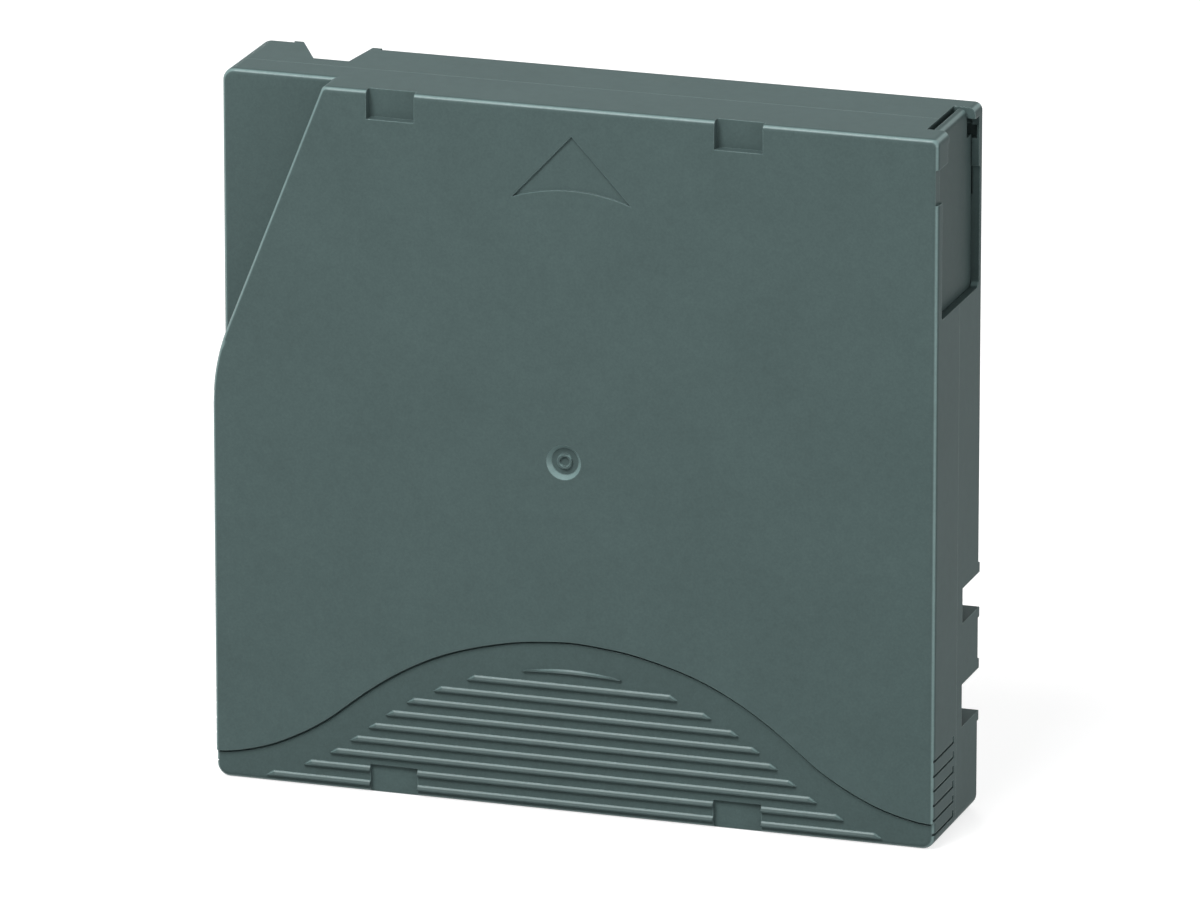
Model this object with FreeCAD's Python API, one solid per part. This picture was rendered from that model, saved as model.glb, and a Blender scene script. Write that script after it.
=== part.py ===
import FreeCAD, Part
import math
import os

# Half-inch data tape cartridge, standing on its rear (label) edge.
# X runs across the width (door side +X), Y through the thickness (upper shell towards -Y),
# Z from the rear edge (0) up to the leading edge.  Lengths in millimetres.

# ---- case ----
width = 105.4
length = 102.0
thickness = 21.5
upper_plate = 2.0
lower_plate = 1.6
wall = 1.6
door_wall = 1.1
edge_round = 0.8
corner_round = 1.9
door_corner_round = 1.1
running_gap = 0.1
fit_gap = 0.05
loose_gap = 0.25
weld = 0.2

# ---- grip field and marks on the upper shell ----
field_step = 0.45
wave_spacing = 4.0
wave_heights = (25.05, 24.8, 24.35, 23.5, 22.4, 20.9, 18.9, 16.4, 13.4, 10.2, 7.75, 5.85, 4.6, 3.95)
wave_groove = 0.35
rib_pitch = 2.13
rib_height = 0.42
rib_width = 0.84
rib_crest = 0.28
rib_first_z = 0.93
rib_reaches = (45.3, 39.7, 35.8, 32.8, 30.1, 27.5, 24.4, 20.4, 15.5, 7.4)
rib_slant = 1.15
rib_arch = 0.3
pad_width = 6.95
pad_length = 4.1
lead_pad_depth = 1.4
rear_pad_depth = 1.0
pad_offset = 25.2
arrow_width = 17.2
arrow_length = 9.2
arrow_tail = 1.5
arrow_depth = 0.28
arrow_gap = 4.1
arrow_shift = 1.15
dimple_radius = 2.5
dimple_foot = 1.95
dimple_depth = 0.7
dimple_ring = (1.15, 1.05, 0.75, 0.65)
dimple_ring_depth = 0.35

# ---- insertion guide ----
guide_depth = 5.1
guide_top_x = -36.2
guide_angle = 21.7
guide_blend = 30.0

# ---- handling notches ----
notch_x_depth = 3.2
notch_y_depth = 8.2
notch_spans = ((14.0, 20.2), (29.1, 34.2))
nose_notch_depth = 11.0
nose_notch_y_depth = 7.8
nose_notch_mouth = (-46.4, -36.2)
nose_notch_floor = (-42.2, -37.0)
side_groove_count = 6
side_groove_pitch = 2.15
side_groove_first_z = 2.03
side_groove_start = 0.35
side_groove_end = 9.65
side_groove_rise = 1.1
side_groove_hook = 0.6
side_groove_width = 0.38
side_groove_depth = 0.4
notch_wall = 1.4
label_span = (-33.0, 46.0)
label_border = 2.4
label_depth = 0.3

# ---- reel ----
reel_x = -1.05
reel_rim_gap = 1.05
reel_top_gap = 1.0
reel_low_gap = 1.2
tape_side_gap = 0.325
tape_rim_margin = 0.85
tape_film = 0.08
hub_radius = 22.0
hub_wall = 3.4
hub_floor = 1.3
hub_skirt = 2.4
flange_thickness = 1.2
flange_lead_in = 2.5
spigot_wall = 1.8
spigot_depth = 1.2
seat_height = 0.45
drive_opening = 17.8
drive_ring_inner = 14.5
drive_ring_outer = 17.2
drive_teeth = 60
drive_tooth_height = 1.1
drive_tooth_width = 1.3
plate_inner = 5.0
plate_thickness = 0.9
leg_circle = 10.2
leg_radius = 1.3
leg_length = 2.75
spider_radius = 4.6
spider_thickness = 1.3
spider_arm = 1.9
spider_dome = 1.6
brake_teeth = 24
brake_ring_inner = 12.0
brake_ring_outer = 14.6
brake_tooth_height = 0.9
brake_tooth_width = 2.2
brake_lift = 2.2
brake_disc = 1.8
brake_sleeve = 5.4
sleeve_room = 2.55
brake_spring_radius = 7.0
brake_spring_wire = 0.7
brake_spring_turns = 4
key_reach = 7.95
key_width = 1.4
key_length = 7.0

# ---- door ----
door_thickness = 1.5
door_opening_length = 26.1
door_travel = 22.0
door_tail = 9.9
door_nose = (-5.4, 6.5)
door_nose_drop = 0.15
door_nose_inset = 0.4
door_nose_round = 1.0
window_front = 2.1
window_back = 1.55
window_step = 0.5
window_step_z = 8.8
window_brow = 4.5
window_brow_z = 4.35
nose_slot_gap = 0.3
nose_slot_inset = 0.5
lip_pocket = (2.9, 4.9)
lip_pocket_depth = 1.1
lip_skin = 0.35
relief_depth = 0.42
relief_span = (4.35, 9.35)
door_corner = 4.4
door_seat = 3.0
door_spigot_radius = 0.55
door_spigot_length = 2.4
door_spring_length = 30.0
door_spring_radius = 1.05
door_spring_wire = 0.4
door_spring_turns = 12
channel_depth = 1.5
channel_wall = 1.2
channel_run_out = 6.0
spring_stop = 1.4
rail_height = 1.15
rail_width = 0.9

# ---- leader pin ----
pin_from_side = 6.8
pin_from_edge = 11.0
pin_shaft = 1.15
pin_flange = 2.2
pin_flange_thickness = 0.65
pin_knob = 1.6
pin_pocket = 0.6
pin_track_gap = 0.4
clamp_thickness = 0.75
leaf = 0.3
leaf_arm = 1.0
finger_reach = 4.65
finger_depth = 3.75
finger_thickness = 1.1
finger_offsets = (7.5, 2.9)
leaf_length = 6.6
leaf_bend = 1.3
leaf_foot = 2.8

# ---- write-protect tab ----
tab_window = 9.5
tab_window_height = 4.2
tab_from_side = 3.2
tab_knob = 4.2
tab_low_y = 1.2
tab_thickness = 2.0
tab_guide = 1.3
tab_guide_length = 8.0

# ---- cartridge memory ----
board_from_side = 19.7
board_width = 14.0
board_length = 10.0
board_thickness = 0.6
board_height = 7.4
chip_width = 4.4
chip_thickness = 0.9
ledge = 1.2

# ---- fasteners ----
screw_radius = 1.05
screw_head = 2.1
screw_head_height = 1.2
screw_length = 11.5
head_depth = 0.5
boss_radius = 2.6
boss_overlap = 1.0
thread_bite = 0.15
pilot_depth = 3.5
datum_radius = 1.75
datum_depth = 3.4
datum_from_edge = 3.8
datum_hole_x = -22.5
datum_slot_x = 19.5
datum_slot_length = 5.0
datum_wall = 1.4
seat_width = 1.9

screw_insets = ((14.2, 11.0), (7.9, 9.4), (5.2, 7.0), (16.2, 15.5), (5.2, 22.0))

# ---- planes worked out from the sizes above ----
half = width / 2
board_x = half - board_from_side
front = -thickness / 2
back = thickness / 2
upper_in = front + upper_plate
lower_in = back - lower_plate
door_face = half - door_wall - running_gap
door_inner = door_face - door_thickness
channel_inner = door_inner - channel_depth
opening_low = length - door_opening_length
door_front = length - door_nose_drop
door_back_end = opening_low - door_tail
spring_foot = door_back_end - door_spring_length
channel_low = spring_foot - channel_run_out
reel_z = length / 2 + running_gap
reel_room = min(channel_inner - channel_wall - reel_x, half - wall + reel_x,
                reel_z - wall, length - wall - reel_z)
flange_radius = reel_room - reel_rim_gap
tape_radius = flange_radius - tape_rim_margin
hub_top_y = upper_in + reel_top_gap + flange_thickness
flange_low_y = lower_in - reel_low_gap - flange_thickness
flange_gap = flange_low_y - hub_top_y
tape_top_y = hub_top_y + tape_side_gap
tape_width = flange_gap - 2 * tape_side_gap
seat_y = lower_in - seat_height
hub_floor_y = seat_y - loose_gap
brake_seat_y = hub_floor_y - hub_skirt
brake_base_y = brake_seat_y - brake_tooth_height - running_gap
key_end_y = upper_in + key_reach
pin_x = half - pin_from_side
pin_z = length - pin_from_edge
tab_left = tab_from_side - half
datum_z = length - datum_from_edge
finger_z = length - wall - finger_reach
screw_places = ((screw_insets[0][0] - half, screw_insets[0][1]),
                (half - screw_insets[1][0], screw_insets[1][1]),
                (guide_top_x + screw_insets[2][0], length - screw_insets[2][1]),
                (half - screw_insets[3][0], length - screw_insets[3][1]),
                (screw_insets[4][0] - half, length - screw_insets[4][1]))
Y_AXIS = FreeCAD.Vector(0, 1, 0)


def at(x, y, z):
    return FreeCAD.Vector(x, y, z)


def box(x0, x1, y0, y1, z0, z1):
    return Part.makeBox(x1 - x0, y1 - y0, z1 - z0, at(x0, y0, z0))


def disc(radius, y0, y1, x=reel_x, z=reel_z):
    """A cylinder whose axis runs through the thickness of the case."""
    return Part.makeCylinder(radius, y1 - y0, at(x, y0, z), Y_AXIS)


def ring(inner, outer, y0, y1, x=reel_x, z=reel_z):
    return disc(outer, y0, y1, x, z).cut(disc(inner, y0, y1, x, z))


def outline(corners):
    """Closed wire in the XZ plane from (x, z, radius) corners, each turned by an arc."""
    edges = []
    ends = []
    count = len(corners)
    for i in range(count):
        x, z, radius = corners[i]
        here = at(x, 0, z)
        before = at(corners[i - 1][0], 0, corners[i - 1][1])
        after = at(corners[(i + 1) % count][0], 0, corners[(i + 1) % count][1])
        to_before = (before - here).normalize()
        to_after = (after - here).normalize()
        half_angle = to_before.getAngle(to_after) / 2
        if radius <= 0:
            ends.append((here, here, None))
            continue
        reach = radius / math.tan(half_angle)
        middle = (to_before + to_after).normalize()
        apex = here + middle * (radius / math.sin(half_angle) - radius)
        ends.append((here + to_before * reach, here + to_after * reach, apex))
    for i in range(count):
        start, end, apex = ends[i]
        if apex is not None:
            edges.append(Part.Arc(start, apex, end).toShape())
        following = ends[(i + 1) % count][0]
        if (following - end).Length > 1e-6:
            edges.append(Part.LineSegment(end, following).toShape())
    return Part.Wire(edges)


def prism(wire, y0, y1):
    """Extrude an XZ wire through the thickness."""
    moved = wire.copy()
    moved.translate(at(0, y0, 0))
    return Part.Face(moved).extrude(at(0, y1 - y0, 0))


def block(corners, y0, y1):
    return prism(outline([(x, z, 0) for x, z in corners]), y0, y1)


def rounded_at(solid, y, radius):
    """Round every edge that lies in the plane at y."""
    edges = [e for e in solid.Edges
             if abs(e.BoundBox.YMin - y) < 1e-6 and abs(e.BoundBox.YMax - y) < 1e-6]
    return solid.makeFillet(radius, edges)


def fuse_all(shapes):
    return shapes[0].multiFuse(shapes[1:]).removeSplitter()


# ---------------------------------------------------------------- outlines

def case_outline(inset):
    """Rounded rectangle of the case seen from the front, moved in by inset."""
    r = max(corner_round - inset, 0.3)
    r_door = max(door_corner_round - inset, 0.3)
    side = half - inset
    return outline([(-side, inset, r), (side, inset, r),
                    (side, length - inset, r_door), (-side, length - inset, r)])


def plateau_outline(inset):
    """The case outline with its leading left corner cut off along the insertion guide."""
    slope = math.tan(math.radians(guide_angle))
    shift = inset / math.cos(math.radians(guide_angle))
    side = half - inset
    top = length - inset
    top_x = guide_top_x + shift - inset * slope
    low_z = top - (top_x + side) / slope
    r = max(corner_round - inset, 0.3)
    r_door = max(door_corner_round - inset, 0.3)
    return outline([(-side, inset, r), (side, inset, r), (side, top, r_door),
                    (top_x, top, 1.0), (-side, low_z, guide_blend)])


def wave_edge(drop, overrun):
    """Edge of the grip field: a bell that runs out level at both sides."""
    last = len(wave_heights) - 1
    points = []
    for i in range(-last, last + 1):
        x = max(min(i * wave_spacing, half), -half)
        points.append(at(x, 0, wave_heights[abs(i)] - drop))
    points = [points[0] - at(overrun, 0, 0)] + points + [points[-1] + at(overrun, 0, 0)]
    curve = Part.BSplineCurve()
    curve.interpolate(points)
    return curve.toShape(), points[0], points[-1]


def above_wave(drop=0.0):
    edge, left, right = wave_edge(drop, 2.0)
    top_right = at(right.x, 0, length + 2)
    top_left = at(left.x, 0, length + 2)
    sides = [Part.LineSegment(right, top_right), Part.LineSegment(top_right, top_left),
             Part.LineSegment(top_left, left)]
    return Part.Wire([edge] + [s.toShape() for s in sides])


# ---------------------------------------------------------------- shells

def rib_loop(foot_z, reach, y, keel, crown, shrink):
    """One rib's outline at depth y: level, with both ends slanting down to a point."""
    low = foot_z + keel
    high = foot_z + crown
    tip = reach - shrink
    shoulder = reach - shrink - rib_slant
    if foot_z > rib_first_z + rib_pitch * (len(rib_reaches) - 1.5):
        # the last rib lies close under the crown of the field and is a flat arch
        over = Part.Arc(at(-tip, y, low), at(0, y, high), at(tip, y, low))
        under = Part.Arc(at(tip, y, low), at(0, y, low + rib_arch - keel), at(-tip, y, low))
        return Part.Wire([over.toShape(), under.toShape()])
    points = [(-tip, low), (-shoulder, high), (shoulder, high), (tip, low)]
    return Part.makePolygon([at(x, y, z) for x, z in points + points[:1]])


def grip_ribs():
    """Raised finger ribs, longest at the rear edge, whose long slope faces the leading edge."""
    field = front + field_step
    ribs = []
    for i, reach in enumerate(rib_reaches):
        foot_z = rib_first_z + i * rib_pitch
        foot = rib_loop(foot_z, reach, field + fit_gap, 0.0, rib_width, 0.0)
        top = rib_loop(foot_z, reach, field - rib_height, fit_gap, rib_crest, rib_crest)
        ribs.append(Part.makeLoft([foot, top], True, True))
    return ribs


def pads():
    """Four shallow rectangular pads that run out over the leading and rear edges."""
    cuts = []
    for side in (-1, 1):
        x0 = reel_x + side * pad_offset - pad_width / 2
        x1 = x0 + pad_width
        cuts.append(box(x0, x1, front - 1, front + rear_pad_depth, -1, pad_length))
        cuts.append(box(x0, x1, front - 1, front + lead_pad_depth, length - pad_length, length + 1))
    return cuts


def arrow():
    """Insertion arrow: a shallow triangle whose tail side bows in."""
    top = length - arrow_gap
    low = top - arrow_length
    x = reel_x + arrow_shift
    left = at(x - arrow_width / 2, front - 1, low)
    right = at(x + arrow_width / 2, front - 1, low)
    apex = at(x, front - 1, top)
    tail = at(x, front - 1, low + arrow_tail)
    wire = Part.Wire([Part.LineSegment(left, apex).toShape(), Part.LineSegment(apex, right).toShape(),
                      Part.Arc(right, tail, left).toShape()])
    return Part.Face(wire).extrude(at(0, 1 + arrow_depth, 0))


def dimple():
    """Dished mark over the reel's axis with a small raised ring in it."""
    floor = front + dimple_depth
    rise = front + dimple_ring_depth
    outer, outer_top, inner_top, inner = dimple_ring
    return turned([(0, front - 1), (dimple_radius, front - 1), (dimple_radius, front), (dimple_foot, floor),
                   (outer, floor), (outer_top, rise), (inner_top, rise), (inner, floor), (0, floor)])


def side_grooves():
    """Short L-shaped finger grooves low on both sides, cut through the front edge."""
    cuts = []
    for side in (-1, 1):
        x_outer = side * (half + 1)
        x_inner = side * (half - side_groove_depth)
        x0, x1 = min(x_outer, x_inner), max(x_outer, x_inner)
        for i in range(side_groove_count):
            z = side_groove_first_z + i * side_groove_pitch
            end = front + side_groove_end
            cuts.append(box(x0, x1, front + side_groove_start, end, z, z + side_groove_width))
            cuts.append(box(x0, x1, end - side_groove_hook, end, z, z + side_groove_rise))
    return cuts


def label_recess():
    """Shallow field on the rear edge for a sticker."""
    return box(label_span[0], label_span[1], front + label_border, back - label_border, -1, label_depth)


def nose_notch(grow, floor_gap):
    """Splayed notch in the leading edge, open to the lower shell's face."""
    y0 = back - nose_notch_y_depth - grow
    corners = [(nose_notch_mouth[0] - grow, back), (nose_notch_floor[0] - grow, y0),
               (nose_notch_floor[1] + grow, y0), (nose_notch_mouth[1] + grow, back)]
    points = [at(x, y, length - nose_notch_depth - floor_gap) for x, y in corners]
    face = Part.Face(Part.makePolygon(points + points[:1]))
    return face.extrude(at(0, 0, nose_notch_depth + floor_gap))


def side_notches(grow):
    """Picker notches in both sides, open to the lower shell's face."""
    blocks = []
    for side in (-1, 1):
        for z0, z1 in notch_spans:
            inner = side * (half - notch_x_depth - grow)
            outer = side * half
            x0, x1 = min(inner, outer), max(inner, outer)
            y0 = back - notch_y_depth - grow
            blocks.append(box(x0, x1, y0, back, z0 - grow, z1 + grow))
    return blocks


def door_side_opening():
    """Window in the door side, with its rear corners rounded, narrower beside the leading edge."""
    y_low = front + window_front
    y_high = back - window_back
    top = length - wall
    step_z = length - window_step_z
    brow_z = length - window_brow_z
    profile = outline([(y_low, opening_low, 0.7), (y_high, opening_low, 1.3), (y_high, step_z, 0),
                       (y_high - window_step, step_z, 0), (y_high - window_step, top, 0),
                       (front + window_brow, top, 0), (front + window_brow, brow_z, 0), (y_low, brow_z, 0)])
    window = Part.Face(profile).extrude(at(0, 3, 0))
    # the outline helper works in XZ, so the window is turned from X across to Y through
    window.rotate(at(0, 0, 0), at(0, 0, 1), 90)
    window.translate(at(half + 1, 0, 0))
    return window


def door_nose_opening():
    """The door's window carries on over the leading edge as a narrow slot."""
    return box(door_inner - nose_slot_inset, half + 1, door_nose[0] - nose_slot_gap,
               door_nose[1] + nose_slot_gap, length - wall - 0.01, length + 1)


def lip_hollow():
    """Small pocket in the window's lip beside the door's cut corner, behind a thin outer skin."""
    lip = back - window_back - window_step
    return box(door_inner - nose_slot_inset, half - lip_skin, lip - 0.1, lip + lip_pocket_depth,
               length - lip_pocket[1], length - lip_pocket[0])


def edge_relief():
    """Small flat let into the front edge beside the door."""
    return box(half - relief_depth, half + 1, front - 1, front + window_front,
               length - relief_span[1], length - relief_span[0])


def boss_at(place, y0, y1):
    return disc(boss_radius, y0, y1, place[0], place[1])


def split_case(lower):
    """The walls, rails and stops that both shells share, taken on one side of the joint."""
    plate_y = lower_in + weld if lower else upper_in - weld

    def from_plate(x0, x1, y, z0, z1):
        return box(x0, x1, min(plate_y, y), max(plate_y, y), z0, z1)

    # inner wall of the door's channel, from the spring stop up to the window
    parts = [from_plate(channel_inner - channel_wall, channel_inner, 0, spring_foot - spring_stop,
                        opening_low + 1.0)]
    # stop that carries the fixed end of the door spring
    stop_y0, stop_y1 = (0, 3) if lower else (-3, 0)
    parts.append(box(channel_inner - weld, half - door_wall + weld, stop_y0, stop_y1,
                     spring_foot - spring_stop, spring_foot))
    # rail that keeps the door against its outer wall
    rail_y = lower_in - rail_height if lower else upper_in + rail_height
    parts.append(from_plate(door_inner - rail_width, door_inner - running_gap, rail_y,
                            door_back_end - door_travel - channel_run_out, length - wall - 2))
    # fingers on the leading wall that back the pin spring
    finger_y = lower_in - finger_depth if lower else upper_in + finger_depth
    for offset in finger_offsets:
        x = pin_x - offset
        parts.append(from_plate(x, x + finger_thickness, finger_y, finger_z, length - wall + weld))
    return parts


def brake_key(across, along, y0, y1):
    """Two crossed bars on the reel's axis."""
    return [box(reel_x - across / 2, reel_x + across / 2, y0, y1, reel_z - along / 2, reel_z + along / 2),
            box(reel_x - along / 2, reel_x + along / 2, y0, y1, reel_z - across / 2, reel_z + across / 2)]


def datum_form(radius, y0, y1, x, long_way):
    """Round form, or an oblong one where long_way draws it out along X."""
    if long_way <= 0:
        return disc(radius, y0, y1, x, datum_z)
    ends = [disc(radius, y0, y1, x + side * long_way / 2, datum_z) for side in (-1, 1)]
    web = box(x - long_way / 2, x + long_way / 2, y0, y1, datum_z - radius, datum_z + radius)
    return ends[0].fuse(ends[1]).fuse(web).removeSplitter()


def pin_slots():
    """Shallow tracks in both plates that seat the pin's ends and let it leave sideways."""
    reach = pin_knob + pin_track_gap
    z0 = pin_z - reach
    z1 = pin_z + reach
    x0 = pin_x - reach
    upper = box(x0, half - door_wall, upper_in - pin_pocket, upper_in + 0.01, z0, z1)
    lower = box(x0, half - door_wall, lower_in - 0.01, lower_in + pin_pocket, z0, z1)
    return upper, lower


def upper_shell():
    # three stacked levels: guide floor, grip field, main face; each has its own rounded edge
    guide_floor = front + guide_depth
    base = rounded_at(prism(case_outline(0), guide_floor, 0), guide_floor, edge_round)
    field = front + field_step
    plateau = rounded_at(prism(plateau_outline(0), field, 0), field, edge_round)
    face = rounded_at(prism(plateau_outline(0), front, 0), front, edge_round)
    face = face.common(prism(above_wave(), front - 1, 1))
    body = base.fuse(plateau).fuse(face)
    # the cavity follows the outside, one wall in
    deep = prism(plateau_outline(wall), upper_in, 0)
    shallow = prism(case_outline(wall), guide_floor + wall, 0)
    side = box(half - wall - 0.5, half - door_wall, upper_in, 0.01, channel_low, length - wall)
    body = body.cut(deep.fuse(shallow).fuse(side))
    groove = prism(above_wave(wave_groove), field - 0.02, field + 0.3).cut(
        prism(above_wave(), field - 1, field + 1))
    body = body.fuse(fuse_all(grip_ribs()))
    body = body.cut(groove.common(prism(case_outline(0.5), front, 0)))
    # inside: screw bosses, cross-shaped key of the brake, channel walls
    extras = [boss_at(p, upper_in - weld, boss_overlap) for p in screw_places[:4]]
    extras.append(boss_at(screw_places[4], guide_floor + wall - weld, boss_overlap))
    extras += brake_key(key_width, key_length, upper_in - weld, key_end_y)
    body = body.multiFuse(extras + split_case(False))
    cuts = pads() + [arrow(), dimple(), label_recess(), edge_relief(), pin_slots()[0],
                     door_side_opening(), door_nose_opening()] + side_grooves()
    cuts += [disc(screw_radius - thread_bite, -pilot_depth, boss_overlap + 0.1, p[0], p[1])
             for p in screw_places]
    return body.cut(cuts).removeSplitter()


def lower_shell():
    body = rounded_at(prism(case_outline(0), 0, back), back, edge_round)
    cavity = prism(case_outline(wall), 0, lower_in)
    side = box(half - wall - 0.5, half - door_wall, -0.01, lower_in, channel_low, length - wall)
    body = body.cut(cavity.fuse(side))
    # walls round the notches, bosses, drive seat, tab guide, board ledges
    inside = lower_in + weld
    extras = side_notches(notch_wall) + [nose_notch(notch_wall, notch_wall)]
    extras += [boss_at(p, boss_overlap, inside) for p in screw_places]
    extras.append(ring(drive_opening, drive_opening + seat_width, seat_y, inside))
    extras.append(box(wall - weld - half, tab_left + tab_window + tab_guide_length, tab_low_y + 1.4, inside,
                      wall + tab_thickness + running_gap, wall + tab_thickness + tab_guide))
    for x in (board_x - board_width / 2 + 0.1, board_x + board_width / 2 - 0.1 - ledge):
        corners = [at(x, inside, wall - weld), at(x, inside, wall + board_height),
                   at(x, lower_in - board_height, wall - weld)]
        extras.append(Part.Face(Part.makePolygon(corners + corners[:1])).extrude(at(ledge, 0, 0)))
    datum_floor = back - datum_depth
    datums = ((datum_hole_x, 0), (datum_slot_x, datum_slot_length - 2 * datum_radius))
    extras += [datum_form(datum_radius + datum_wall, datum_floor - 0.6, inside, x, long_way)
               for x, long_way in datums]
    body = body.multiFuse(extras + split_case(True))
    body = body.common(prism(case_outline(0), -0.5, back + 0.5))
    cuts = [nose_notch(0, 0), label_recess(), pin_slots()[1], door_side_opening(), door_nose_opening(),
            lip_hollow(), disc(drive_opening, lower_in - 1, back + 1)] + side_notches(0) + side_grooves()
    cuts += [datum_form(datum_radius, datum_floor, back + 1, x, long_way) for x, long_way in datums]
    for p in screw_places:
        cuts.append(disc(screw_radius + thread_bite, boss_overlap - 0.5, back + 1, p[0], p[1]))
        cuts.append(disc(screw_head + weld, back - screw_head_height - head_depth, back + 1, p[0], p[1]))
    cuts.append(box(tab_left, tab_left + tab_window, tab_low_y, tab_low_y + tab_window_height,
                    -1, wall + 0.1))
    return body.cut(cuts).removeSplitter()


# ---------------------------------------------------------------- reel

def tooth_ring(count, inner, outer, base_y, height, tooth, upward, turned):
    """Radial face teeth, triangular in section, standing on the plane at base_y."""
    tip = base_y + (height if upward else -height)
    root = base_y - (0.1 if upward else -0.1)
    teeth = []
    for i in range(count):
        points = [at(inner, root, -tooth / 2), at(inner, base_y, -tooth / 2), at(inner, tip, -0.08),
                  at(inner, tip, 0.08), at(inner, base_y, tooth / 2), at(inner, root, tooth / 2)]
        one = Part.Face(Part.makePolygon(points + points[:1])).extrude(at(outer - inner, 0, 0))
        one.rotate(at(0, 0, 0), Y_AXIS, (i + turned) * 360.0 / count)
        one.translate(at(reel_x, 0, reel_z))
        teeth.append(one)
    return teeth


def leg_places():
    return [(reel_x + leg_circle * math.cos(math.radians(90 + 120 * i)),
             reel_z + leg_circle * math.sin(math.radians(90 + 120 * i))) for i in range(3)]


def turned(profile, x=reel_x, z=reel_z):
    """Full turn of a closed (radius, y) profile about an axis through the thickness."""
    points = [at(radius, y, 0) for radius, y in profile]
    solid = Part.Face(Part.makePolygon(points + points[:1])).revolve(at(0, 0, 0), Y_AXIS, 360)
    solid.translate(at(x, 0, z))
    return solid


def reel_hub():
    """Hub barrel, floor and lower flange in one moulding, with the two rings of face teeth."""
    barrel = hub_radius - hub_wall
    skirt = drive_opening + 2.2
    flange_y = flange_low_y + flange_thickness
    recess = brake_ring_inner - 0.1
    profile = [(barrel, hub_top_y), (hub_radius, hub_top_y), (hub_radius, flange_low_y),
               (flange_radius - flange_lead_in, flange_low_y), (flange_radius, flange_low_y + 0.3),
               (flange_radius, flange_y), (skirt + 1.0, flange_y), (skirt, hub_floor_y),
               (0, hub_floor_y), (0, hub_floor_y - hub_floor), (recess, hub_floor_y - hub_floor),
               (recess, brake_seat_y), (barrel, brake_seat_y)]
    drive = tooth_ring(drive_teeth, drive_ring_inner, drive_ring_outer, hub_floor_y,
                       drive_tooth_height, drive_tooth_width, True, 0)
    lock = tooth_ring(brake_teeth, brake_ring_inner, brake_ring_outer, brake_seat_y,
                      brake_tooth_height, brake_tooth_width, False, 0)
    hub = turned(profile).multiFuse(drive + lock)
    holes = [disc(leg_radius + weld, 0, back, x, z) for x, z in leg_places()]
    return hub.cut(holes).removeSplitter()


def hub_plate():
    """Steel washer on the hub's underside that the drive's magnet holds."""
    plate = ring(plate_inner, drive_ring_inner - 0.3, hub_floor_y, hub_floor_y + plate_thickness)
    return plate.cut([disc(leg_radius + 0.35, 0, back, x, z) for x, z in leg_places()])


def upper_flange():
    """Flange welded on the hub's top, with a spigot inside the barrel."""
    outer = hub_radius - hub_wall - fit_gap
    inner = outer - spigot_wall
    top = hub_top_y - flange_thickness
    low = hub_top_y + spigot_depth
    return turned([(inner, low), (inner, top), (flange_radius, top), (flange_radius, hub_top_y - 0.3),
                   (flange_radius - flange_lead_in, hub_top_y), (outer, hub_top_y), (outer, low)])


def tape_pack():
    return ring(hub_radius + fit_gap, tape_radius, tape_top_y, tape_top_y + tape_width)


def brake_button():
    """Locking disc with face teeth and a sleeve whose cross-shaped socket rides on the shell's key."""
    sleeve_top = upper_in + brake_lift + sleeve_room
    body = disc(brake_ring_outer, brake_base_y - brake_disc, brake_base_y)
    body = body.fuse(disc(brake_sleeve, sleeve_top, brake_base_y))
    teeth = tooth_ring(brake_teeth, brake_ring_inner, brake_ring_outer, brake_base_y,
                       brake_tooth_height, brake_tooth_width, True, 0.5)
    body = body.multiFuse(teeth)
    socket = brake_key(key_width + 2 * running_gap, key_length + 2 * running_gap,
                       sleeve_top - 1.0, key_end_y + brake_lift + 0.6)
    return body.cut(socket).removeSplitter()


def release_spider():
    """Three-legged release: its legs stand in the hub's holes and lift the brake's centre."""
    floor = hub_floor_y - hub_floor - running_gap
    top = floor - spider_thickness
    body = [disc(spider_radius, top, floor)]
    for i, place in enumerate(leg_places()):
        body.append(disc(leg_radius, top, floor + leg_length, place[0], place[1]))
        arm = box(0, leg_circle, top, floor, -spider_arm / 2, spider_arm / 2)
        arm.rotate(at(0, 0, 0), Y_AXIS, -(90 + 120 * i))
        arm.translate(at(reel_x, 0, reel_z))
        body.append(arm)
    body.append(disc(spider_dome, brake_base_y + running_gap, top + weld))
    return fuse_all(body)


def coil(radius, wire, turns, span):
    """Open compression coil along +Z from the origin, of round wire drawn as a four-sided bar."""
    stations = 8
    sides = 4
    rise = span - wire
    sections = []
    for i in range(turns * stations + 1):
        turn = 2 * math.pi * i / stations
        lift = wire / 2 + rise * i / (turns * stations)
        corners = []
        for k in range(sides):
            around = 2 * math.pi * k / sides
            out = radius + wire / 2 * math.cos(around)
            corners.append(at(out * math.cos(turn), out * math.sin(turn),
                              lift + wire / 2 * math.sin(around)))
        sections.append(Part.makePolygon(corners + corners[:1]))
    return Part.makeLoft(sections, True, True)


def brake_spring():
    span = brake_base_y - brake_disc - upper_in - 2 * fit_gap
    spring = coil(brake_spring_radius, brake_spring_wire, brake_spring_turns, span)
    spring.rotate(at(0, 0, 0), at(1, 0, 0), -90)
    spring.translate(at(reel_x, upper_in + fit_gap, reel_z))
    return spring


# ---------------------------------------------------------------- door

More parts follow.
